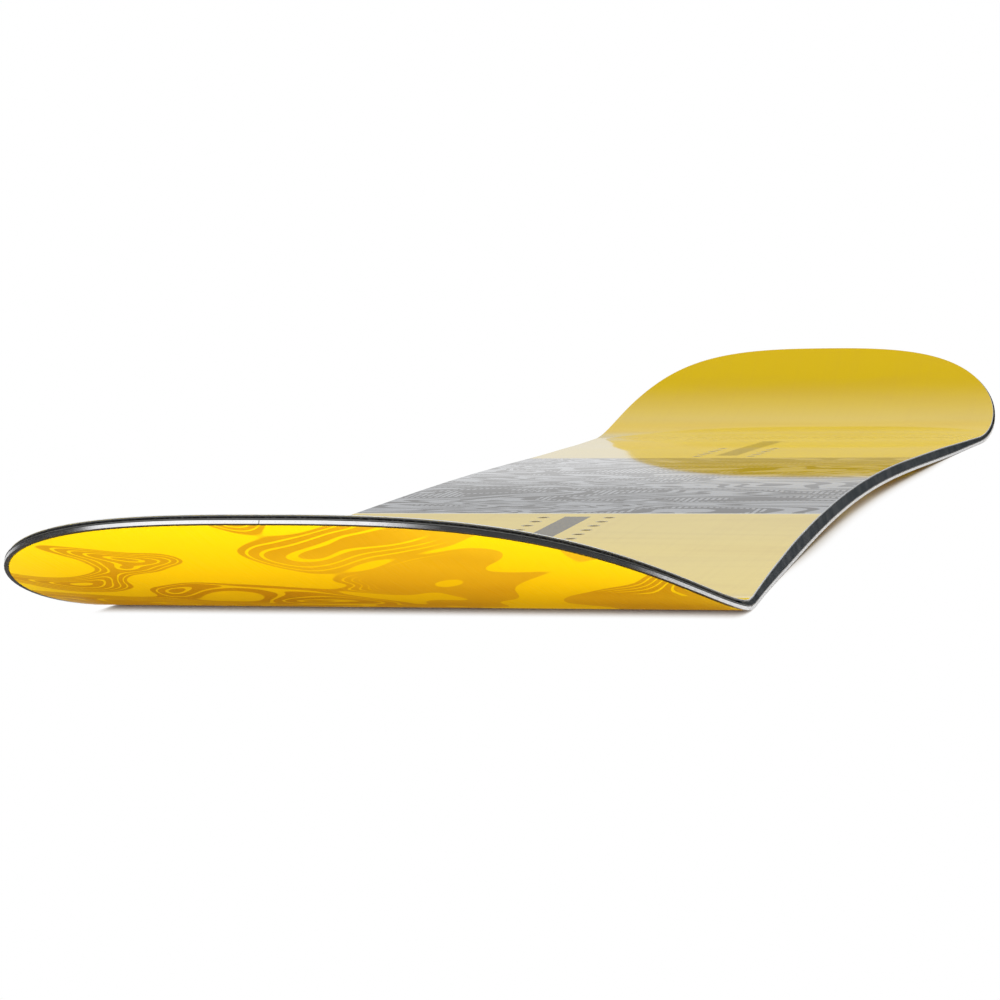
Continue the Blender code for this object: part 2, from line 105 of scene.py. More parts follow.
class BoardShape(bpy.types.PropertyGroup):
    """Outline seen from above and side profile of the base"""

    tip_y: length("Half length", 0.760, "Distance from the middle to each tip")
    waist_half_width: length("Waist half width", 0.1404, "Half width at the narrowest place")
    waist_y: length("Waist place", 0.085, "Where the board is narrowest")
    nose_sidecut_radius: length("Nose sidecut", 7.0, "Sidecut radius in front of the waist")
    tail_sidecut_radius: length("Tail sidecut", 6.3, "Sidecut radius behind the waist")
    nose_shoulder: length("Nose shoulder", 0.250, "How far the sidecut's direction carries on")
    nose_bluntness: length("Nose bluntness", 0.093, "How wide the end of the nose stays")
    tail_shoulder: length("Tail shoulder", 0.190, "How far the sidecut's direction carries on")
    tail_bluntness: length("Tail bluntness", 0.130, "How wide the end of the tail stays")
    tip_flat_half: length("Tip flat", 0.006, "Half width of the straight piece at each tip")
    nose_contact_y: length("Nose contact", -0.498, "Where the nose starts to rise")
    tail_contact_y: length("Tail contact", 0.549, "Where the tail starts to rise")
    camber_start_y: length("Camber start", -0.360, "Front end of the camber")
    camber_end_y: length("Camber end", 0.470, "Rear end of the camber")
    camber_height: length("Camber", 0.0059, "Height of the base at the middle of the camber")
    nose_bend_radius: length("Nose bend", 0.21, "Radius of the first bend of the nose")
    nose_bend_length: length("Nose bend length", 0.030, "Length of the first bend of the nose")
    nose_sweep_radius: length("Nose sweep", 0.945, "Radius of the rest of the nose")
    tail_bend_radius: length("Tail bend", 0.405, "Radius of the first bend of the tail")
    tail_bend_length: length("Tail bend length", 0.141, "Length of the first bend of the tail")
    tail_sweep_radius: length("Tail sweep", 0.25, "Radius of the rest of the tail")
    nose_fill_depth: length("Nose fill", 0.085, "Depth of the tip fill at the nose")
    tail_fill_depth: length("Tail fill", 0.070, "Depth of the tip fill at the tail")
    tip_rows: IntProperty(name="Tip rows", default=44, min=8,
                          description="Rows of faces along each tip's outline")
    sidecut_rows: IntProperty(name="Sidecut rows", default=84, min=8,
                              description="Rows of faces between the contact points")


class LayerSizes(bpy.types.PropertyGroup):
    """Thicknesses of the layers, the steel edge and the inserts"""

    front_thickness: length("Front thickness", 0.0098, "Board thickness under the front foot")
    rear_thickness: length("Rear thickness", 0.0086, "Board thickness under the rear foot")
    tip_thickness: length("Tip thickness", 0.0049, "Board thickness at the tips")
    nose_thinning_run_on: length("Nose thinning", 0.025, "How far thinning goes past the contact")
    tail_thinning_run_on: length("Tail thinning", 0.030, "How far thinning goes past the contact")
    thinning_blend: length("Thinning blend", 0.030, "Half the length over which its ends are rounded")
    front_pad_start: length("Front pad start", -0.292, "Front end of the front insert pack")
    front_pad_end: length("Front pad end", -0.168, "Rear end of the front insert pack")
    rear_pad_start: length("Rear pad start", 0.278, "Front end of the rear insert pack")
    rear_pad_end: length("Rear pad end", 0.402, "Rear end of the rear insert pack")
    base_thickness: length("Base", 0.0012, "Thickness of the base")
    bond_line: length("Bond line", 0.0002, "Resin between two layers")
    glass_thickness: length("Laminate", 0.0004, "Thickness of each glass laminate")
    topsheet_thickness: length("Topsheet", 0.0004, "Thickness of the topsheet")
    topsheet_bevel: length("Topsheet bevel", 0.00035, "Width of the topsheet's sanded rim")
    edge_height: length("Edge height", 0.0019, "Height of the steel rail")
    edge_width: length("Edge width", 0.0020, "Width of the steel rail")
    edge_bevel: length("Edge bevel", 0.00015, "Rounding of the steel rail")
    edge_joint: length("Edge joint", 0.00015, "Half the seam between both edges at a tip")
    flange_thickness: length("Flange", 0.0005, "Thickness of the edge's flange")
    flange_reach: length("Flange reach", 0.0065, "How far the flange goes in")
    edge_to_base_gap: length("Edge to base", 0.0003, "Seam between the edge and the base")
    step_gap: length("Step gap", 0.0003, "From the flange to the laminate's step")
    step_run: length("Step run", 0.0012, "Length of the laminate's sloped step")
    sidewall_width: length("Sidewall", 0.0090, "Width of the sidewall")
    sidewall_lean: length("Sidewall lean", 0.0013, "How far the sidewall's top leans in")
    insert_radius: length("Insert radius", 0.0046, "Outer radius of an insert's barrel")
    insert_bevel: length("Insert bevel", 0.0001, "Rounding of the barrel and the neck")
    flange_radius: length("Insert flange", 0.0080, "Outer radius of an insert's flange")
    insert_floor: length("Insert flange thickness", 0.0010, "Thickness of an insert's flange")
    neck_radius: length("Insert neck", 0.0035, "Radius of the neck that fills the drilled hole")
    neck_recess: length("Neck recess", 0.00005, "How far the neck stays below the deck")
    bore_radius: length("Bore radius", 0.0025, "Radius of the thread's crests")
    thread_depth: length("Thread depth", 0.0004, "Depth of the thread")
    thread_pitch: length("Thread pitch", 0.0010, "Pitch of the thread")
    deck_hole_radius: length("Deck hole", 0.0036, "Radius of the hole in the topsheet")
    hole_bevel: length("Hole bevel", 0.0001, "Bevel of the hole in the topsheet")
    drill_overshoot: length("Drill overshoot", 0.0020, "How far a drill goes past a layer")


class PrintMarks(bpy.types.PropertyGroup):
    """Places along the board, and strengths, of what is printed on the deck and the base"""

    block_start: length("Block start", -0.1585, "Front border of the silver block")
    block_end: length("Block end", 0.2689, "Rear border of the silver block")
    near_bar_start: length("Front marker start", -0.1755, "End of the front marker at the block")
    near_bar_end: length("Front marker end", -0.3755, "Far end of the front marker")
    far_bar_start: length("Rear marker start", 0.298, "End of the rear marker at the block")
    far_bar_end: length("Rear marker end", 0.498, "Far end of the rear marker")
    bar_half_width: length("Marker half width", 0.0078, "Half width of the marker bars")
    border_width: length("Border width", 0.0030, "Width of the pale line round the block")
    fade_start: length("Fade start", 0.50, "Where the deck's tone starts to deepen to the tail's")
    fade_end: length("Fade end", 0.72, "Where the deck has the tail's tone")
    curl_strength: FloatProperty(name="Curl strength", default=0.18, min=0.0, max=1.0,
                                 subtype="FACTOR", description="Depth of the printed wood curl")
    fibre_strength: FloatProperty(name="Fibre strength", default=0.08, min=0.0, max=1.0,
                                  subtype="FACTOR", description="Depth of the printed fibres")
    silver_metal: FloatProperty(name="Silver", default=0.8, min=0.0, max=1.0, subtype="FACTOR",
                                description="How metallic the silver ink is")
    thin_contours: FloatProperty(name="Thin contours", default=18.0,
                                 description="Thin lines from the lowest to the highest hill")
    wide_contours: FloatProperty(name="Wide contours", default=3.6,
                                 description="Wide lines from the lowest to the highest hill")
    hatch_lines: FloatProperty(name="Hatching", default=260.0,
                               description="Lines of hatching in a metre across the board")
    base_veins: FloatProperty(name="Base veins", default=24.0,
                              description="Veins from the lowest to the highest of the base's flow")


class BoardColours(bpy.types.PropertyGroup):
    """Colours of the print, the plastics, the metals and the wood"""

    # The deck's yellow deepens from the first of these to the second over the tail's kick
    nose_yellow: colour("Nose yellow", (0.98, 0.75, 0.13), "Wood tone of the deck up to the tail")
    tail_yellow: colour("Tail yellow", (0.71, 0.49, 0.012), "Wood tone of the deck at the tail")
    grain_tone: colour("Grain", (0.62, 0.38, 0.045), "Darker tone of the printed grain")
    block_ground: colour("Block ground", (0.42, 0.47, 0.55), "Silver ink of the printed block")
    block_lines: colour("Block lines", (0.020, 0.017, 0.017), "Black ink of the contour lines")
    block_border: colour("Block border", (0.95, 0.90, 0.66), "Pale line round the printed block")
    bar_ink: colour("Marker ink", (0.020, 0.017, 0.017), "Ink of the marker bars")
    cut_sheet: colour("Cut sheet", (0.66, 0.70, 0.74), "Clear plastic where the topsheet is cut")
    black_plastic: colour("Black plastic", (0.008, 0.016, 0.023), "Sidewalls")
    tip_black: colour("Tip black", (0.004, 0.0035, 0.003), "Rough black of the tip fills")
    glass: colour("Laminate", (0.035, 0.036, 0.034), "Resin and glass at the rim")
    steel: colour("Steel", (0.74, 0.74, 0.75), "Ground steel of the edges")
    insert_metal: colour("Insert metal", (0.80, 0.68, 0.38), "Yellow plated steel of the inserts")
    base_orange: colour("Base orange", (0.73, 0.43, 0.008), "Ground colour of the base")
    base_amber: colour("Base amber", (0.6132, 0.3182, 0.004), "Darker ground of the base")
    base_yellow: colour("Base yellow", (0.90, 0.62, 0.001), "Flowing shapes on the base")
    poplar: colour("Poplar", (0.66, 0.50, 0.31), "Soft strips of the core")
    ash: colour("Ash", (0.50, 0.34, 0.19), "Hard strips of the core")


class StudioSettings(bpy.types.PropertyGroup):
    """Camera, lamps, room and floor"""

    camera_place: FloatVectorProperty(name="Camera place", default=(0.4514, -2.0778, 0.1994), size=3,
                                      subtype="TRANSLATION", unit="LENGTH",
                                      description="Where the camera stands")
    camera_yaw: FloatProperty(name="Camera yaw", default=0.2566, subtype="ANGLE", unit="ROTATION",
                              description="Turn of the view to the left of the board's length")
    camera_pitch: FloatProperty(name="Camera pitch", default=-0.0897, subtype="ANGLE",
                                unit="ROTATION", description="Tilt of the view, down is negative")
    camera_roll: FloatProperty(name="Camera roll", default=-0.0233, subtype="ANGLE",
                               unit="ROTATION", description="Roll of the view")
    camera_lens: FloatProperty(name="Lens", default=118.91, description="Focal length in mm",
                               subtype="DISTANCE_CAMERA", unit="CAMERA")
    overhead_power: FloatProperty(name="Overhead lamp", default=20.0, subtype="POWER", unit="POWER",
                                  description="Power of the softbox over the board")
    front_power: FloatProperty(name="Front lamp", default=14.0, subtype="POWER", unit="POWER",
                               description="Power of the softbox in front of the nose")
    strip_power: FloatProperty(name="Strip lamp", default=4.5, subtype="POWER", unit="POWER",
                               description="Power of the low strip in front of the nose")
    sky_level: FloatProperty(name="Room light", default=0.62, min=0.0,
                             description="Light that comes evenly from the room")
    floor_glow: FloatProperty(name="Floor glow", default=0.25, min=0.0,
                              description="Light that the floor gives off round the board")
    table_glow: FloatProperty(name="Light table", default=0.9, min=0.0,
                              description="Light that the floor gives off under the board")
    paper: colour("Paper", (0.95, 0.95, 0.95), "The floor in the light that it scatters")
    dark_card: colour("Dark card", (0.08, 0.08, 0.08), "What the nose mirrors in front of it")
    contact_shade: colour("Contact shade", (0.057, 0.042, 0.036), "Shadow at the nose and tail")
    camber_shade: colour("Camber shade", (0.16, 0.15, 0.09), "Shadow under the camber")
    penumbra_tone: colour("Penumbra", (1.0, 0.88, 0.76), "Warm rim of the shadows")
    floor_half: length("Floor half width", 4.0, "Half the width of the floor")
    floor_drop: length("Floor drop", 0.0003, "Air between the board and the floor")
    shadow_height: length("Shadow height", 0.008, "Height under which the floor shows a shadow")
    camber_shadow: length("Camber shadow", 0.012, "The same height under the camber")


def board():
    return bpy.context.scene.snowboard_shape


def layers():
    return bpy.context.scene.snowboard_layers


def print_marks():
    return bpy.context.scene.snowboard_marks


def colours():
    return bpy.context.scene.snowboard_colours


def studio():
    return bpy.context.scene.snowboard_studio


# Side profile

def arc_rise(run, radius):
    return radius - math.sqrt(radius * radius - run * run)


def kick_height(run, bend_radius, bend_length, sweep_radius):
    """Rise of the base at a distance past the contact point: a bend, then a wider sweep."""
    if run <= 0:
        return 0.0
    if run <= bend_length:
        return arc_rise(run, bend_radius)
    start = sweep_radius * bend_length / bend_radius
    rise = arc_rise(run - bend_length + start, sweep_radius) - arc_rise(start, sweep_radius)
    return arc_rise(bend_length, bend_radius) + rise


def base_height(y):
    b = board()
    nose = kick_height(b.nose_contact_y - y, b.nose_bend_radius, b.nose_bend_length,
                       b.nose_sweep_radius)
    tail = kick_height(y - b.tail_contact_y, b.tail_bend_radius, b.tail_bend_length,
                       b.tail_sweep_radius)
    middle = (b.camber_start_y + b.camber_end_y) / 2
    half = (b.camber_end_y - b.camber_start_y) / 2
    share = min(abs(y - middle) / half, 1.0)
    return nose + tail + b.camber_height * (1 - share * share) ** 2


def mixed(low, high, share):
    return low + (high - low) * min(max(share, 0.0), 1.0)


def board_thickness(y):
    """The planned thickness with its corners rounded off, as a mean of places close by."""
    reach = layers().thinning_blend
    places = [y + reach * step for step in (-1, -0.5, 0, 0.5, 1)]
    return sum(planned_thickness(place) for place in places) / len(places)


def planned_thickness(y):
    """Thin tips, and a core that is full under both feet."""
    b, sizes = board(), layers()
    if y <= sizes.front_pad_start:
        thin_y = b.nose_contact_y - sizes.nose_thinning_run_on
        share = (y - thin_y) / (sizes.front_pad_start - thin_y)
        return mixed(sizes.tip_thickness, sizes.front_thickness, share)
    if y >= sizes.rear_pad_end:
        thin_y = b.tail_contact_y + sizes.tail_thinning_run_on
        share = (thin_y - y) / (thin_y - sizes.rear_pad_end)
        return mixed(sizes.tip_thickness, sizes.rear_thickness, share)
    share = (y - sizes.front_pad_end) / (sizes.rear_pad_start - sizes.front_pad_end)
    return mixed(sizes.front_thickness, sizes.rear_thickness, share)


class Heights:
    """Heights of the layers above the underside of the base, at full thickness"""

    def __init__(self):
        sizes = layers()
        bond, glass = sizes.bond_line, sizes.glass_thickness
        self.full = max(sizes.front_thickness, sizes.rear_thickness)
        self.flange_bottom = sizes.edge_height - sizes.flange_thickness
        self.glass_low = sizes.base_thickness + bond
        self.glass_high = sizes.edge_height + bond
        self.core_bottom = self.glass_low + glass + bond
        self.wall_bottom = self.glass_high + glass + bond
        self.topsheet_bottom = self.full - sizes.topsheet_thickness
        self.top_glass_top = self.topsheet_bottom - bond
        self.top_glass_bottom = self.top_glass_top - glass
        self.core_top = self.top_glass_bottom - bond
        self.flange_top = self.core_bottom + sizes.insert_floor
        self.thinning_start = self.flange_top + bond


def on_board(flat, heights):
    """The place on the curved board of a point of the flat layers."""
    height = flat.z
    if height > heights.thinning_start + HEIGHT_TOLERANCE:
        height -= heights.full - board_thickness(flat.y)
    rise = base_height(flat.y + SLOPE_STEP) - base_height(flat.y - SLOPE_STEP)
    slope = rise / (2 * SLOPE_STEP)
    lean = Vector((0, -slope, 1)).normalized()
    return Vector((flat.x, flat.y, base_height(flat.y))) + height * lean


# Outline, from the nose to the tail

def sidecut_slope(y):
    b = board()
    radius = b.nose_sidecut_radius if y < b.waist_y else b.tail_sidecut_radius
    return (y - b.waist_y) / radius


def sidecut_half_width(y):
    b = board()
    return b.waist_half_width + (y - b.waist_y) * sidecut_slope(y) / 2


def tip_outline(contact_y, side, shoulder, bluntness):
    """From a contact point to a tip, at side -1 for the nose and 1 for the tail."""
    b = board()
    start = Vector((sidecut_half_width(contact_y), contact_y))
    along = Vector((side * sidecut_slope(contact_y), side)).normalized()
    corner = Vector((bluntness, side * b.tip_y))
    end = Vector((b.tip_flat_half, side * b.tip_y))
    return interpolate_bezier(start, start + shoulder * along, corner, end, b.tip_rows)


def right_outline():
    b = board()
    nose = tip_outline(b.nose_contact_y, -1, b.nose_shoulder, b.nose_bluntness)
    tail = tip_outline(b.tail_contact_y, 1, b.tail_shoulder, b.tail_bluntness)
    steps = range(1, b.sidecut_rows)
    places = [mixed(b.nose_contact_y, b.tail_contact_y, step / b.sidecut_rows) for step in steps]
    return nose[::-1] + [Vector((sidecut_half_width(y), y)) for y in places] + tail


def drawn_in(outline, inset):
    """The outline moved inwards by inset."""
    last = len(outline) - 1
    points = []
    for i, point in enumerate(outline):
        run = (outline[min(i + 1, last)] - outline[max(i - 1, 0)]).normalized()
        normal = Vector((run.y, -run.x))
        if i in (0, last):
            normal = Vector((0, -1 if i == 0 else 1))
        points.append(point - inset * normal)
    return points


# Modelling, on flat layers that are bent last of all

def swept(section, rows, tips_x=None):
    """Sweeps a closed section of (side, inset, height) points along rows of the outline.

    With tips_x the sweep runs on to that distance from the middle line at both tips. Returns the
    mesh and the section's points at either end."""
    outlines = {}
    for _, inset, _ in section:
        points = drawn_in(right_outline(), inset)[rows]
        if tips_x is not None:
            points = [Vector((tips_x, points[0].y))] + points + [Vector((tips_x, points[-1].y))]
        outlines[inset] = points
    last_row = len(points) - 1
    last_column = len(section) - 1
    bm = bmesh.new()
    bmesh.ops.create_grid(bm, x_segments=last_row, y_segments=last_column, size=0.5)
    grid = {}
    for vert in bm.verts:
        row = round((vert.co.x + 0.5) * last_row)
        column = round((vert.co.y + 0.5) * last_column)
        grid[row, column] = vert
    for (row, column), vert in grid.items():
        side, inset, height = section[column]
        point = outlines[inset][row]
        vert.co = (side * point.x, point.y, height)
    first = chain([grid[row, 0] for row in range(last_row + 1)])
    last = chain([grid[row, last_column] for row in range(last_row + 1)])
    bmesh.ops.bridge_loops(bm, edges=first + last)
    ends = [[grid[row, column] for column in range(last_column + 1)] for row in (0, last_row)]
    return bm, ends


def chain(verts):
    """The edges that join verts in order."""
    edges = []
    for start, end in zip(verts, verts[1:]):
        edges.append(next(edge for edge in start.link_edges if edge.other_vert(start) == end))
    return edges


def sheet(rim, rows=slice(None)):
    """A layer right across the board. The rim gives (inset, height) points from below to above."""
    section = [(1, inset, z) for inset, z in rim] + [(-1, inset, z) for inset, z in reversed(rim)]
    bm, ends = swept(section, rows)
    for end in ends:
        half = len(rim)
        bmesh.ops.bridge_loops(bm, edges=chain(end[:half]) + chain(end[half:]))
    bmesh.ops.recalc_face_normals(bm, faces=bm.faces)
    return bm


def rail(section, side, rows=slice(None), tips_x=None):
    """A solid that runs along one side of the board, closed at both ends."""
    bm, _ = swept([(side, inset, height) for inset, height in section], rows, tips_x)
    bmesh.ops.holes_fill(bm, edges=[edge for edge in bm.edges if edge.is_boundary], sides=0)
    bmesh.ops.recalc_face_normals(bm, faces=bm.faces)
    return bm


def turned(bm, x, y, profile, steps):
    """Adds a solid turned about the upright line at x, y, from (radius, height) points."""
    verts = [bm.verts.new((x + radius, y, height)) for radius, height in profile]
    edges = [bm.edges.new(pair) for pair in zip(verts, verts[1:])]
    bmesh.ops.spin(bm, geom=verts + edges, cent=(x, y, 0), axis=(0, 0, 1), dvec=(0, 0, 0),
                   angle=math.tau, steps=steps, use_merge=True)


def closed(bm):
    """Welds the poles of turned solids and points their faces outwards."""
    bmesh.ops.remove_doubles(bm, verts=bm.verts, dist=WELD_DISTANCE)
    bmesh.ops.recalc_face_normals(bm, faces=bm.faces)
    return bm


def linked_object(name, data):
    item = bpy.data.objects.new(name, data)
    bpy.context.collection.objects.link(item)
    return item


def mesh_object(name, bm):
    """An object of the bmesh, which is used up."""
    mesh = bpy.data.meshes.new(name)
    bm.to_mesh(mesh)
    bm.free()
    return linked_object(name, mesh)


def cut_away(bm, cutter):
    """The mesh less the cutter's solids. Both are used up."""
    body, tool = mesh_object("cutting", bm), mesh_object("cutting", cutter)
    modifier = body.modifiers.new("Cut", "BOOLEAN")
    modifier.operation = "DIFFERENCE"
    modifier.object = tool
    evaluated = body.evaluated_get(bpy.context.evaluated_depsgraph_get())
    result = bmesh.new()
    result.from_mesh(evaluated.to_mesh())
    for item in (body, tool):
        bpy.data.objects.remove(item, do_unlink=True)
    return result


def insert_nodes(pack):
    return sorted(name for name in NODES if name.startswith(f"insert_{pack}_"))


def insert_places(pack):
    """Centres of one pack's inserts, from the CAD nodes."""
    places = []
    for name in insert_nodes(pack):
        low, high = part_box(name)
        places.append(((low.x + high.x) / 2, (low.y + high.y) / 2))
    return places


def hole_cutter(low, high, chamfer):
    """Drills for every insert, through a layer between two heights."""
    radius, overshoot = layers().deck_hole_radius, layers().drill_overshoot
    low -= overshoot
    bm = bmesh.new()
    for x, y in insert_places("front") + insert_places("rear"):
        profile = [(0, low), (radius, low), (radius, high - chamfer), (radius + chamfer, high),
                   (radius + chamfer, high + overshoot), (0, high + overshoot)]
        turned(bm, x, y, profile, HOLE_STEPS)
    return closed(bm)


def add_piece(name, bm, materials, nodes):
    """Bends a flat layer over the side profile and lets it stand for its CAD nodes."""
    heights = Heights()
    for vert in bm.verts:
        vert.co = on_board(vert.co, heights)
    piece = mesh_object(name, bm)
    for material in materials:
        piece.data.materials.append(material)
    piece.data.shade_smooth()
    piece.data.set_sharp_from_angle(angle=SHARP_ANGLE)
    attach(piece, BODY)
    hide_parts(*nodes)


# Materials: nodes are added by short helpers that return what they put out

def add_node(tree, kind, inputs, **settings):
    node = tree.nodes.new(kind)
    for key, value in settings.items():
        setattr(node, key, value)
    for socket, value in inputs.items():
        if isinstance(value, bpy.types.NodeSocket):
            tree.links.new(value, node.inputs[socket])
        else:
            node.inputs[socket].default_value = value
    return node


def maths(tree, operation, first, second=0.0, third=0.0):
    inputs = {0: first, 1: second, 2: third}
    return add_node(tree, "ShaderNodeMath", inputs, operation=operation).outputs[0]


def stretched(tree, vector, scale):
    inputs = {0: vector, 1: scale}
    return add_node(tree, "ShaderNodeVectorMath", inputs, operation="MULTIPLY").outputs[0]


def components(tree, vector):
    return add_node(tree, "ShaderNodeSeparateXYZ", {"Vector": vector}).outputs


def noise(tree, vector, scale=1.0, detail=2.0, roughness=0.5, distortion=0.0):
    inputs = {"Vector": vector, "Scale": scale, "Detail": detail, "Roughness": roughness,
              "Distortion": distortion}
    return add_node(tree, "ShaderNodeTexNoise", inputs).outputs["Fac"]


def blend_colour(tree, share, first, second):
    """First where share is 0, second where it is 1."""
    node = add_node(tree, "ShaderNodeMix", {"Factor": share}, data_type="RGBA")
    first_colour, second_colour, result = 6, 7, 2
    pairs = ((node.inputs[first_colour], first), (node.inputs[second_colour], second))
    for socket, value in pairs:
        if isinstance(value, bpy.types.NodeSocket):
            tree.links.new(value, socket)
        else:
            socket.default_value = (*value, 1)
    return node.outputs[result]


def ramped(tree, value, low, high, to_low=0.0, to_high=1.0):
    """Maps low to high smoothly on to the second pair of values, and holds them beyond."""
    inputs = {"Value": value, "From Min": low, "From Max": high, "To Min": to_low, "To Max": to_high}
    node = add_node(tree, "ShaderNodeMapRange", inputs, interpolation_type="SMOOTHSTEP")
    return node.outputs["Result"]


def falling(tree, value, low, high):
    """1 below low, 0 above high."""
    return ramped(tree, value, low, high, to_low=1.0, to_high=0.0)


def between(tree, value, low, high, soft=0.0002):
    """1 between low and high, 0 outside."""
    rise = ramped(tree, value, low - soft, low + soft)
    fall = falling(tree, value, high - soft, high + soft)
    return maths(tree, "MULTIPLY", rise, fall)


def folded(tree, value, folds):
    """Runs up to 0.5 and back for each of the folds that a value of 1 would have."""
    return maths(tree, "PINGPONG", maths(tree, "MULTIPLY", value, folds), 0.5)


def bumped(tree, shader, height, strength, distance):
    inputs = {"Height": height, "Strength": strength, "Distance": distance}
    bump = add_node(tree, "ShaderNodeBump", inputs)
    tree.links.new(bump.outputs["Normal"], shader.inputs["Normal"])


def finished(tree, shader, tone, roughness):
    tree.links.new(tone, shader.inputs["Base Color"])
    tree.links.new(roughness, shader.inputs["Roughness"])


def darker(tone, share):
    return tuple(share * value for value in tone)


def paler(tone, step=0.05):
    return tuple(value + step for value in tone)


def new_group(name, inputs, outputs):
    """An empty node group. Returns it with what it is given and what it puts out."""
    tree = bpy.data.node_groups.new(name, "ShaderNodeTree")
    for label in inputs:
        tree.interface.new_socket(label, in_out="INPUT", socket_type="NodeSocketVector")
    for label in outputs:
        tree.interface.new_socket(label, in_out="OUTPUT", socket_type="NodeSocketFloat")
    return tree, tree.nodes.new("NodeGroupInput").outputs, tree.nodes.new("NodeGroupOutput").inputs


def wood_figure_group():
    """Fibres along the board with a curly figure across them."""
    name = "Wood figure"
    if name in bpy.data.node_groups:
        return bpy.data.node_groups[name]
    tree, given, put_out = new_group(name, ("Position", "Fibre Stretch", "Curl Stretch"),
                                     ("Fibre", "Curl"))
    fibres = stretched(tree, given["Position"], given["Fibre Stretch"])
    curls = stretched(tree, given["Position"], given["Curl Stretch"])
    fibre = noise(tree, fibres, detail=5.0, roughness=0.6, distortion=0.6)
    curl = noise(tree, curls, detail=3.0, roughness=0.55, distortion=1.1)
    tree.links.new(fibre, put_out["Fibre"])
    tree.links.new(curl, put_out["Curl"])
    return tree


def scuff_group():
    """Thin scratches in one direction, on uneven ground."""
    name = "Scuffs"
    if name in bpy.data.node_groups:
        return bpy.data.node_groups[name]
    tree, given, put_out = new_group(name, ("Position", "Stretch"), ("Scratches", "Haze"))
    lines = stretched(tree, given["Position"], given["Stretch"])
    scratches = ramped(tree, noise(tree, lines, detail=4.0, roughness=0.7), 0.56, 0.68)
    haze = noise(tree, given["Position"], scale=60.0, detail=4.0, roughness=0.6)
    tree.links.new(scratches, put_out["Scratches"])
    tree.links.new(haze, put_out["Haze"])
    return tree


def placed(tree, group, inputs):
    return add_node(tree, "ShaderNodeGroup", inputs, node_tree=group).outputs


def new_material(name, **constants):
    """A material with its shader's constants set. Returns it with its tree, shader and position."""
    material = bpy.data.materials.new(name)
    material.use_nodes = True
    tree = material.node_tree
    shader = tree.nodes["Principled BSDF"]
    for key, value in constants.items():
        shader.inputs[key.replace("_", " ").title().replace("Ior", "IOR")].default_value = value
    position = tree.nodes.new("ShaderNodeTexCoord").outputs["Object"]
    return material, tree, shader, position


def uneven(tree, value, smooth, rough):
    """Roughness that wanders between two values with a noise."""
    return ramped(tree, value, *NOISE_RANGE, smooth, rough)


def block_print(tree, position):
    """Contour lines and bands of hatching, as on a map of hills."""
    marks = print_marks()
    hill_stretch = (5.0, 13.0, 0.0)
    hills = noise(tree, stretched(tree, position, hill_stretch), detail=2.6, roughness=0.55,
                  distortion=0.7)
    thin = falling(tree, folded(tree, hills, marks.thin_contours), 0.19, 0.25)
    wide = falling(tree, folded(tree, hills, marks.wide_contours), 0.060, 0.075)
    x = components(tree, position)["X"]
    hatch = falling(tree, folded(tree, x, marks.hatch_lines), 0.18, 0.24)
    hatched_hills = between(tree, hills, 0.50, 0.54, soft=0.003)
    hatched = maths(tree, "MULTIPLY", hatch, hatched_hills)
    return maths(tree, "MAXIMUM", maths(tree, "MAXIMUM", thin, wide), hatched)


def deck_material():
    """Wood tone, printed block and marker bars under a clear gloss."""
    c, marks = colours(), print_marks()
    material, tree, shader, position = new_material(
        "printed deck", coat_weight=1.0, coat_roughness=0.05, coat_ior=1.5, specular_ior_level=0.0)
    axes = components(tree, position)
    x_from_middle = maths(tree, "ABSOLUTE", axes["X"])
    y = axes["Y"]
    wood = placed(tree, wood_figure_group(), {
        "Position": position, "Fibre Stretch": (220.0, 3.0, 0.0), "Curl Stretch": (5.0, 22.0, 0.0)})
    # Over the tail's kick the deck's yellow deepens from nose yellow to tail yellow
    ground = blend_colour(tree, ramped(tree, y, marks.fade_start, marks.fade_end), c.nose_yellow,
                          c.tail_yellow)
    curl = ramped(tree, wood["Curl"], 0.40, 0.72, to_high=marks.curl_strength)
    fibre = ramped(tree, wood["Fibre"], 0.45, 0.75, to_high=marks.fibre_strength)
    figured = blend_colour(tree, maths(tree, "ADD", curl, fibre), ground, c.grain_tone)
    block = between(tree, y, marks.block_start, marks.block_end)
    lines = block_print(tree, position)
    contours = blend_colour(tree, lines, c.block_ground, c.block_lines)
    border = between(tree, y, marks.block_start - marks.border_width, marks.block_start)
    bordered = blend_colour(tree, border, figured, c.block_border)
    printed = blend_colour(tree, block, bordered, contours)
    half, ink_edge = marks.bar_half_width, 0.0002
    across = falling(tree, x_from_middle, half - ink_edge, half + ink_edge)
    near = between(tree, y, marks.near_bar_end, marks.near_bar_start)
    far = between(tree, y, marks.far_bar_start, marks.far_bar_end)
    bar = maths(tree, "MULTIPLY", across, maths(tree, "MAXIMUM", near, far))
    specks = noise(tree, position, scale=900.0, detail=1.0)
    speckle = ramped(tree, specks, *NOISE_RANGE, to_low=0.80)
    inked = blend_colour(tree, maths(tree, "MULTIPLY", bar, speckle), printed, c.bar_ink)
    inked_share = maths(tree, "MULTIPLY", block, lines)
    silver = maths(tree, "SUBTRACT", block, inked_share)
    tree.links.new(maths(tree, "MULTIPLY", silver, marks.silver_metal), shader.inputs["Metallic"])
    ink_roughness, print_roughness = 0.40, 0.15
    roughness = maths(tree, "MULTIPLY_ADD", inked_share, ink_roughness - print_roughness,
                      print_roughness)
    finished(tree, shader, inked, roughness)
    return material


def cut_sheet_material():
    """Clear plastic of the topsheet where it was sanded and drilled."""
    material, tree, shader, position = new_material("cut sheet", coat_weight=0.4)
    haze = placed(tree, scuff_group(), {"Position": position, "Stretch": (90.0, 20.0, 90.0)})["Haze"]
    clear = colours().cut_sheet
    finished(tree, shader, blend_colour(tree, haze, clear, darker(clear, 0.7)),
             uneven(tree, haze, 0.22, 0.42))
    return material


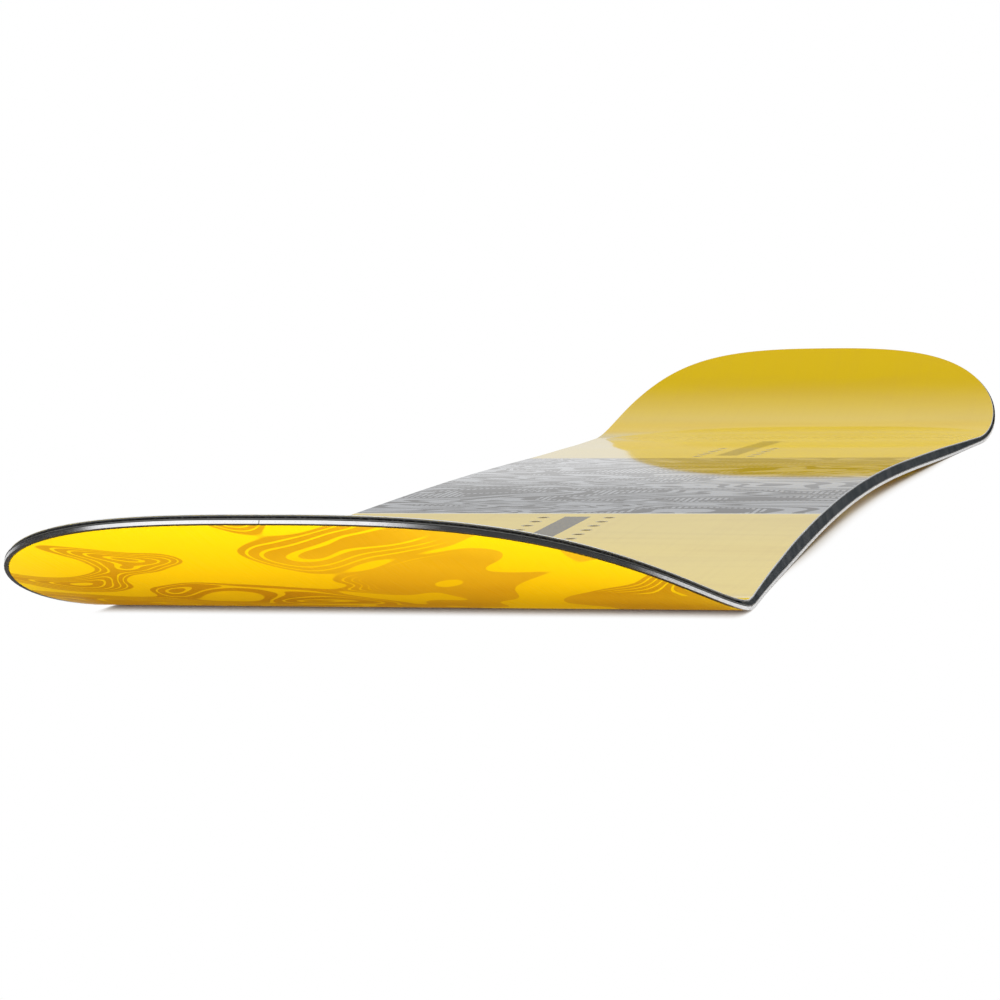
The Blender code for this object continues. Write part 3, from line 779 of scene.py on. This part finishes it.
def plastic_material(name, black, roughness, bump_scale, bump_strength, speckle):
    """Black plastic with scratches along the board, and pale specks that are painted glints of a
    rough surface.
    """
    material, tree, shader, position = new_material(name, specular_ior_level=0.03)
    scuffs = placed(tree, scuff_group(), {"Position": position, "Stretch": (60.0, 8.0, 1400.0)})
    # Pale specks painted into the colour as glints of a rough surface, as strong as speckle says
    painted_glints = ramped(tree, noise(tree, position, scale=1100.0), 0.52, 0.66, to_high=speckle)
    scratch_strength = 0.25
    wear_and_glint_share = maths(tree, "MULTIPLY_ADD", scuffs["Scratches"], scratch_strength, painted_glints)
    finished(tree, shader, blend_colour(tree, wear_and_glint_share, black, paler(black)),
             uneven(tree, scuffs["Haze"], *roughness))
    bumped(tree, shader, noise(tree, position, bump_scale, detail=3.0), bump_strength,
           distance=0.0002)
    return material


def laminate_material():
    """Strands of glass in dark resin."""
    material, tree, shader, position = new_material("glass laminate")
    strands = noise(tree, stretched(tree, position, (900.0, 60.0, 900.0)))
    glass = colours().glass
    finished(tree, shader, blend_colour(tree, strands, glass, paler(glass)),
             uneven(tree, strands, 0.35, 0.55))
    return material


def steel_material():
    """Steel with grinding scratches along the edge."""
    material, tree, shader, position = new_material("ground steel", metallic=1.0)
    scuffs = placed(tree, scuff_group(), {"Position": position, "Stretch": (900.0, 30.0, 1500.0)})
    steel = colours().steel
    scratch_strength = 0.6
    share = maths(tree, "MULTIPLY", scuffs["Scratches"], scratch_strength)
    finished(tree, shader, blend_colour(tree, share, steel, darker(steel, 0.72)),
             uneven(tree, scuffs["Haze"], 0.18, 0.30))
    bumped(tree, shader, scuffs["Scratches"], strength=0.08, distance=0.0001)
    return material


def insert_material():
    """Yellow plated steel, slightly dulled in places."""
    material, tree, shader, position = new_material("plated insert", metallic=0.45)
    haze = noise(tree, position, scale=400.0, detail=3.0)
    metal = colours().insert_metal
    finished(tree, shader, blend_colour(tree, haze, metal, darker(metal, 0.6)),
             uneven(tree, haze, 0.25, 0.45))
    return material


def base_material():
    """Two flowing colours under a satin ground surface."""
    c, marks = colours(), print_marks()
    material, tree, shader, position = new_material("printed base", coat_weight=0.015,
                                                    coat_roughness=0.08, specular_ior_level=0.04)
    flow_stretch, vein_stretch, shade_stretch = (10.0, 8.0, 0.0), (4.0, 9.0, 0.0), (5.0, 9.0, 0.0)
    grind_stretch = (1500.0, 18.0, 0.0)
    left_rail, right_rail = -0.17, 0.17
    more_at_left, less_at_right = 0.012, -0.022
    lean = ramped(tree, components(tree, position)["X"], left_rail, right_rail, more_at_left,
                  less_at_right)
    flow = noise(tree, stretched(tree, position, flow_stretch), detail=0.6, roughness=0.3,
                 distortion=1.3)
    pools = maths(tree, "ADD", flow, lean)
    pool_share = ramped(tree, pools, 0.508, 0.515)
    veins = ramped(tree, folded(tree, pools, marks.base_veins), 0.36, 0.40)
    vein_noise = noise(tree, stretched(tree, position, vein_stretch), detail=0.0)
    vein_share = maths(tree, "MULTIPLY", veins, ramped(tree, vein_noise, 0.46, 0.50))
    yellow_share = maths(tree, "MAXIMUM", pool_share, vein_share)
    shade = noise(tree, stretched(tree, position, shade_stretch), detail=1.0)
    ground = blend_colour(tree, ramped(tree, shade, 0.42, 0.66), c.base_orange, c.base_amber)
    grind = noise(tree, stretched(tree, position, grind_stretch))
    finished(tree, shader, blend_colour(tree, yellow_share, ground, c.base_yellow),
             uneven(tree, grind, 0.30, 0.40))
    bumped(tree, shader, grind, strength=0.03, distance=0.0001)
    return material


def strip_material(name, tone):
    """Bare wood of a core strip."""
    material, tree, shader, position = new_material(name)
    wood = placed(tree, wood_figure_group(), {
        "Position": position, "Fibre Stretch": (500.0, 8.0, 500.0),
        "Curl Stretch": (60.0, 4.0, 60.0)})
    fibre_strength, curl_strength = 0.5, 0.4
    curl = maths(tree, "MULTIPLY", wood["Curl"], curl_strength)
    share = maths(tree, "MULTIPLY_ADD", wood["Fibre"], fibre_strength, curl)
    finished(tree, shader, blend_colour(tree, share, tone, darker(tone, 0.6)),
             uneven(tree, wood["Fibre"], 0.5, 0.75))
    bumped(tree, shader, wood["Fibre"], strength=0.3, distance=0.0002)
    return material


# Studio

def floor_material():
    """Paper that is white to the camera, with the board's shadow where the two come close.

    Reflections show it dark in front of the board, as if a dark card lay there. A camera
    underneath sees through it, and under the board it shines as a light table does."""
    material, tree, shader, position = new_material("white paper", roughness=0.6,
                                                    specular_ior_level=0.2)
    s, b = studio(), board()
    nose, tail = b.nose_contact_y, b.tail_contact_y
    black, white = (0.0, 0.0, 0.0), (1.0, 1.0, 1.0)
    rays = tree.nodes.new("ShaderNodeLightPath").outputs
    to_camera, to_diffuse = rays["Is Camera Ray"], rays["Is Diffuse Ray"]
    axes = components(tree, position)
    y = axes["Y"]

    right_rail, card_slant, card_start, card_end = 0.17, -0.7, -0.56, -0.52
    aside = maths(tree, "MAXIMUM", maths(tree, "SUBTRACT", axes["X"], right_rail), 0.0)
    slanted = maths(tree, "MULTIPLY_ADD", aside, card_slant, y)
    on_card = maths(tree, "MULTIPLY", falling(tree, slanted, card_start, card_end),
                    rays["Is Glossy Ray"])
    paper = blend_colour(tree, on_card, s.paper, s.dark_card)

    camber_inset, camber_blend = 0.14, 0.16
    camber = between(tree, y, nose + camber_inset, tail - camber_inset, soft=camber_blend)
    shade = blend_colour(tree, camber, s.contact_shade, s.camber_shade)
    waist_half, contact_inset, edge_blend = 0.13, 0.01, 0.02
    under_waist = between(tree, axes["X"], -waist_half, waist_half, soft=edge_blend)
    between_contacts = between(tree, y, nose + contact_inset, tail - contact_inset, soft=edge_blend)
    under_board = maths(tree, "MULTIPLY", under_waist, between_contacts)
    unlit = blend_colour(tree, maths(tree, "MULTIPLY", to_diffuse, under_board), paper, black)
    tree.links.new(blend_colour(tree, to_camera, unlit, shade), shader.inputs["Base Color"])

    table_light = maths(tree, "MULTIPLY_ADD", under_board, s.table_glow - s.floor_glow, s.floor_glow)
    glow_strength = maths(tree, "MULTIPLY", to_diffuse, table_light)
    shader.inputs["Emission Color"].default_value = (*white, 1)
    tree.links.new(glow_strength, shader.inputs["Emission Strength"])

    reach = maths(tree, "MULTIPLY_ADD", camber, s.camber_shadow - s.shadow_height, s.shadow_height)
    openness = add_node(tree, "ShaderNodeAmbientOcclusion", {"Distance": reach},
                        samples=16).outputs["AO"]
    tip_steepness, more_under_camber = 0.5, 0.9
    tip_openness, more_open_under_camber = 0.6, 0.35
    steepness = maths(tree, "MULTIPLY_ADD", camber, more_under_camber, tip_steepness)
    full = maths(tree, "MULTIPLY_ADD", camber, more_open_under_camber, tip_openness)
    clear = ramped(tree, maths(tree, "POWER", openness, steepness), 0.0, full)
    penumbra = blend_colour(tree, clear, s.penumbra_tone, white)
    glow = add_node(tree, "ShaderNodeEmission", {"Color": penumbra, "Strength": 1.0})
    seen = maths(tree, "MULTIPLY", to_camera, clear)
    lit = add_node(tree, "ShaderNodeMixShader", {0: seen, 1: shader.outputs[0], 2: glow.outputs[0]})

    underside = tree.nodes.new("ShaderNodeNewGeometry").outputs["Backfacing"]
    from_below = maths(tree, "MULTIPLY", to_camera, underside)
    clear_sheet = tree.nodes.new("ShaderNodeBsdfTransparent")
    sheet_of_paper = add_node(tree, "ShaderNodeMixShader", {
        0: from_below, 1: lit.outputs[0], 2: clear_sheet.outputs[0]})
    output = next(node for node in tree.nodes if node.type == "OUTPUT_MATERIAL")
    tree.links.new(sheet_of_paper.outputs[0], output.inputs["Surface"])
    return material


def room(level):
    """A white room to the camera.

    Reflections show it dark, with a bright backdrop behind the board and a softbox to the left of
    the camera."""
    world = bpy.data.worlds.new("studio room")
    world.use_nodes = True
    tree = world.node_tree
    background = tree.nodes["Background"]
    rays = tree.nodes.new("ShaderNodeLightPath").outputs
    direction = tree.nodes.new("ShaderNodeTexCoord").outputs["Generated"]
    axes = components(tree, direction)
    white, wall_tone = (1.0, 1.0, 1.0), (1.2, 0.96, 0.6)
    towards_softbox = (-0.45, -0.68, 0.58)
    lowest_backdrop, backdrop_level, softbox_level, dark_level = 0.70, 0.48, 1.25, 0.05

    low = ramped(tree, axes["Z"], 0.06, 0.12, lowest_backdrop, backdrop_level)
    behind = ramped(tree, axes["Y"], 0.50, 0.85)
    backdrop = maths(tree, "MULTIPLY", low, behind)
    wall = maths(tree, "MULTIPLY", between(tree, axes["Z"], 0.25, 0.45, soft=0.05), behind)
    nearness = add_node(tree, "ShaderNodeVectorMath", {0: direction, 1: towards_softbox},
                        operation="DOT_PRODUCT").outputs["Value"]
    lamp = ramped(tree, nearness, 0.79, 0.88, to_high=softbox_level)
    reflected = maths(tree, "ADD", maths(tree, "ADD", backdrop, lamp), dark_level)
    change = maths(tree, "SUBTRACT", reflected, level)
    plain = maths(tree, "MULTIPLY_ADD", rays["Is Glossy Ray"], change, level)
    to_white = maths(tree, "SUBTRACT", 1.0, plain)
    strength = maths(tree, "MULTIPLY_ADD", rays["Is Camera Ray"], to_white, plain)
    tinted = maths(tree, "MULTIPLY", wall, rays["Is Glossy Ray"])
    tree.links.new(blend_colour(tree, tinted, white, wall_tone), background.inputs["Color"])
    tree.links.new(strength, background.inputs["Strength"])
    bpy.context.scene.world = world


def softbox(name, place, aim, size, power):
    """A soft lamp that lights the board but isn't seen, nor mirrored in it."""
    data = bpy.data.lights.new(name, "AREA")
    data.shape = "RECTANGLE"
    data.size, data.size_y = size
    data.energy = power
    lamp = linked_object(name, data)
    lamp.visible_camera = False
    lamp.visible_glossy = False
    towards = Vector(aim) - Vector(place)
    turn = towards.to_track_quat("-Z", "Y").to_matrix().to_4x4()
    lamp.matrix_world = Matrix.Translation(place) @ turn


def photo_camera():
    """The photograph's view: a place, and a turn, tilt and roll about it."""
    s = studio()
    data = bpy.data.cameras.new("photo_camera")
    data.lens = s.camera_lens
    camera = linked_object("photo_camera", data)
    yaw, pitch, roll = s.camera_yaw, s.camera_pitch, s.camera_roll
    ahead = Vector((-math.sin(yaw) * math.cos(pitch), math.cos(yaw) * math.cos(pitch),
                    math.sin(pitch)))
    right = ahead.cross(Vector((0, 0, 1))).normalized()
    up = right.cross(ahead)
    right, up = (math.cos(roll) * right + math.sin(roll) * up,
                 math.cos(roll) * up - math.sin(roll) * right)
    turn = Matrix((right, up, -ahead)).transposed()
    camera.matrix_world = Matrix.Translation(s.camera_place) @ turn.to_4x4()
    bpy.context.scene.camera = camera


# Operators, one for each group of pieces and one for the studio

class SNOWBOARD_OT_topsheet(bpy.types.Operator):
    """Build the printed topsheet, drilled over the inserts"""

    bl_idname = "snowboard.topsheet"
    bl_label = "Topsheet"

    def execute(self, context):
        sizes, heights = layers(), Heights()
        lean, bevel = sizes.sidewall_lean, sizes.topsheet_bevel
        rim = [(lean, heights.topsheet_bottom), (lean, heights.full - bevel),
               (lean + bevel, heights.full)]
        cutter = hole_cutter(heights.topsheet_bottom, heights.full, sizes.hole_bevel)
        bm = cut_away(sheet(rim), cutter)
        for face in bm.faces:
            if abs(face.normal.z) < PRINTED_RISE:
                face.material_index = 1
        materials = [deck_material(), cut_sheet_material()]
        add_piece("deck_topsheet", bm, materials, ["topsheet"])
        return {"FINISHED"}


class SNOWBOARD_OT_laminates(bpy.types.Operator):
    """Build the glass laminates over and under the core"""

    bl_idname = "snowboard.laminates"
    bl_label = "Laminates"

    def execute(self, context):
        sizes, heights = layers(), Heights()
        glass, lean = sizes.glass_thickness, sizes.sidewall_lean
        material = laminate_material()
        rim = [(lean, heights.top_glass_bottom), (lean, heights.top_glass_top)]
        cutter = hole_cutter(heights.top_glass_bottom, heights.top_glass_top, chamfer=0.0)
        upper = cut_away(sheet(rim), cutter)
        add_piece("upper_laminate", upper, [material], ["top_fiberglass"])
        outer = sizes.flange_reach + sizes.step_gap
        inner = outer + sizes.step_run
        rim = [(inner, heights.glass_low), (outer, heights.glass_high), (0, heights.glass_high),
               (0, heights.glass_high + glass), (outer, heights.glass_high + glass),
               (inner, heights.glass_low + glass)]
        add_piece("lower_laminate", sheet(rim), [material], ["bottom_fiberglass"])
        return {"FINISHED"}


class SNOWBOARD_OT_walls(bpy.types.Operator):
    """Build the sidewalls and the tip fills"""

    bl_idname = "snowboard.walls"
    bl_label = "Sidewalls and tip fills"

    def execute(self, context):
        sizes, heights = layers(), Heights()
        outline = right_outline()
        _, nose_fill_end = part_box("nose_tip_fill")
        tail_fill_start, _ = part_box("tail_tip_fill")
        first = next(i for i, point in enumerate(outline) if point.y > nose_fill_end.y)
        last = next(i for i, point in enumerate(outline) if point.y > tail_fill_start.y)
        sidewall = plastic_material("sidewall plastic", colours().black_plastic,
                                    roughness=(0.42, 0.55), bump_scale=700.0,
                                    bump_strength=0.15, speckle=0.0)
        section = [(0, heights.wall_bottom), (sizes.sidewall_width, heights.wall_bottom),
                   (sizes.sidewall_width, heights.core_top), (sizes.sidewall_lean, heights.core_top)]
        for name, side in (("right", 1), ("left", -1)):
            bm = rail(section, side, slice(first, last))
            add_piece(f"{name}_sidewall", bm, [sidewall], [f"sidewall_{name}"])
        outer = sizes.flange_reach + sizes.step_gap
        rim = [(outer + sizes.step_run, heights.core_bottom), (outer, heights.wall_bottom),
               (0, heights.wall_bottom), (sizes.sidewall_lean, heights.core_top)]
        # The tip fills' speckle paints glints of their rough surface as pale specks
        fill = plastic_material("tip fill plastic", colours().tip_black,
                                roughness=(0.50, 0.70), bump_scale=520.0,
                                bump_strength=1.0, speckle=1.4)
        b = board()
        ends = (("nose", slice(0, first), outline[first - 1], b.nose_fill_depth),
                ("tail", slice(last, None), outline[last], b.tail_fill_depth))
        for name, rows, seam, depth in ends:
            across = seam.x - sizes.sidewall_width
            along = b.tip_y - abs(seam.y) - depth
            scale = Matrix.Diagonal((across, along, FILL_CUTTER_HEIGHT, 1))
            place = Matrix.Translation((0, seam.y, 0)) @ scale
            cutter = bmesh.new()
            bmesh.ops.create_cone(cutter, cap_ends=True, segments=FILL_STEPS, radius1=1,
                                  radius2=1, depth=1, matrix=place)
            bm = cut_away(sheet(rim, rows), cutter)
            add_piece(f"{name}_fill", bm, [fill], [f"{name}_tip_fill"])
        return {"FINISHED"}


class SNOWBOARD_OT_steel_edges(bpy.types.Operator):
    """Build the two steel edges, each a rail with a flange"""

    bl_idname = "snowboard.steel_edges"
    bl_label = "Steel edges"

    def execute(self, context):
        sizes, heights = layers(), Heights()
        bevel, width, top = sizes.edge_bevel, sizes.edge_width, sizes.edge_height
        section = [(bevel, 0), (width - bevel, 0), (width, bevel), (width, heights.flange_bottom),
                   (sizes.flange_reach, heights.flange_bottom), (sizes.flange_reach, top),
                   (bevel, top), (0, top - bevel), (0, bevel)]
        steel = steel_material()
        for name, side in (("right", 1), ("left", -1)):
            bm = rail(section, side, tips_x=sizes.edge_joint)
            add_piece(f"{name}_steel_edge", bm, [steel], [f"steel_edge_{name}"])
        return {"FINISHED"}


class SNOWBOARD_OT_base(bpy.types.Operator):
    """Build the printed base between the steel edges"""

    bl_idname = "snowboard.base"
    bl_label = "Base"

    def execute(self, context):
        sizes = layers()
        inset = sizes.edge_width + sizes.edge_to_base_gap
        rim = [(inset, 0), (inset, sizes.base_thickness)]
        add_piece("printed_base", sheet(rim), [base_material()], ["base_sheet"])
        return {"FINISHED"}


class SNOWBOARD_OT_inserts(bpy.types.Operator):
    """Build the threaded binding inserts under each foot"""

    bl_idname = "snowboard.inserts"
    bl_label = "Binding inserts"

    def execute(self, context):
        sizes, heights = layers(), Heights()
        bore, depth, pitch = sizes.bore_radius, sizes.thread_depth, sizes.thread_pitch
        shoulder, floor = heights.core_top, heights.core_bottom + sizes.insert_floor
        top, bevel = heights.full - sizes.neck_recess, sizes.insert_bevel
        root_start, root_end = THREAD_ROOT
        profile = [(0, floor), (bore, floor)]
        turns = int((top - floor - THREAD_RUN_OUT) / pitch)
        for turn in range(turns):
            start = floor + THREAD_LEAD_IN + turn * pitch
            profile += [(bore, start), (bore + depth, start + root_start * pitch),
                        (bore + depth, start + root_end * pitch)]
        profile += [(bore, top - bevel), (bore + bevel, top), (sizes.neck_radius - bevel, top),
                    (sizes.neck_radius, top - bevel), (sizes.neck_radius, shoulder),
                    (sizes.insert_radius - bevel, shoulder), (sizes.insert_radius, shoulder - bevel),
                    (sizes.insert_radius, heights.flange_top),
                    (sizes.flange_radius, heights.flange_top),
                    (sizes.flange_radius, heights.core_bottom), (0, heights.core_bottom)]
        metal = insert_material()
        for pack in ("front", "rear"):
            bm = bmesh.new()
            for x, y in insert_places(pack):
                turned(bm, x, y, profile, INSERT_STEPS)
            nodes = insert_nodes(pack)
            add_piece(f"{pack}_inserts", closed(bm), [metal], nodes)
        return {"FINISHED"}


class SNOWBOARD_OT_core(bpy.types.Operator):
    """Give the strips of the wood core their grain"""

    bl_idname = "snowboard.core"
    bl_label = "Core strips"

    def execute(self, context):
        poplar = strip_material("poplar grain", colours().poplar)
        ash = strip_material("ash grain", colours().ash)
        for name in CORE_STRIPS:
            NODES[name].material_slots[0].material = ash if name in HARD_STRIPS else poplar
        return {"FINISHED"}


class SNOWBOARD_OT_stage(bpy.types.Operator):
    """Set the floor, room, lamps and camera"""

    bl_idname = "snowboard.stage"
    bl_label = "Studio"

    def execute(self, context):
        s = studio()
        bm = bmesh.new()
        bmesh.ops.create_grid(bm, x_segments=1, y_segments=1, size=s.floor_half)
        bmesh.ops.translate(bm, verts=bm.verts, vec=(0, 0, -s.floor_drop))
        floor = mesh_object("studio_floor", bm)
        floor.data.materials.append(floor_material())
        room(s.sky_level)
        softbox("overhead_softbox", place=(0.1, 0.2, 2.2), aim=(0, 0, 0), size=(2.4, 2.4),
                power=s.overhead_power)
        softbox("front_softbox", place=(0.5, -2.4, 1.1), aim=(0, -0.6, 0), size=(1.4, 1.4),
                power=s.front_power)
        softbox("floor_strip", place=(0.1, -1.35, 0.03), aim=(0.0, -0.5, 0.03), size=(1.0, 0.05),
                power=s.strip_power)
        photo_camera()
        bpy.context.scene.view_settings.view_transform = "Standard"
        return {"FINISHED"}


class SNOWBOARD_PT_panel(bpy.types.Panel):
    """Lists the steps that build the snowboard"""

    bl_idname = "SNOWBOARD_PT_panel"
    bl_label = "Snowboard"
    bl_space_type = "VIEW_3D"
    bl_region_type = "UI"
    bl_category = "Snowboard"

    def draw(self, context):
        for operator in STEPS:
            self.layout.operator(operator.bl_idname)


STEPS = (
    SNOWBOARD_OT_topsheet,
    SNOWBOARD_OT_laminates,
    SNOWBOARD_OT_walls,
    SNOWBOARD_OT_steel_edges,
    SNOWBOARD_OT_base,
    SNOWBOARD_OT_inserts,
    SNOWBOARD_OT_core,
    SNOWBOARD_OT_stage,
)
SETTINGS = (
    ("snowboard_shape", BoardShape),
    ("snowboard_layers", LayerSizes),
    ("snowboard_marks", PrintMarks),
    ("snowboard_colours", BoardColours),
    ("snowboard_studio", StudioSettings),
)


def register():
    for name, group in SETTINGS:
        bpy.utils.register_class(group)
        setattr(bpy.types.Scene, name, PointerProperty(type=group))
    for cls in STEPS + (SNOWBOARD_PT_panel,):
        bpy.utils.register_class(cls)


def unregister():
    for cls in reversed(STEPS + (SNOWBOARD_PT_panel,)):
        bpy.utils.unregister_class(cls)
    for name, group in reversed(SETTINGS):
        delattr(bpy.types.Scene, name)
        bpy.utils.unregister_class(group)


def main():
    register()
    bpy.ops.snowboard.topsheet()
    bpy.ops.snowboard.laminates()
    bpy.ops.snowboard.walls()
    bpy.ops.snowboard.steel_edges()
    bpy.ops.snowboard.base()
    bpy.ops.snowboard.inserts()
    bpy.ops.snowboard.core()
    bpy.ops.snowboard.stage()


if __name__ == "__main__":
    main()
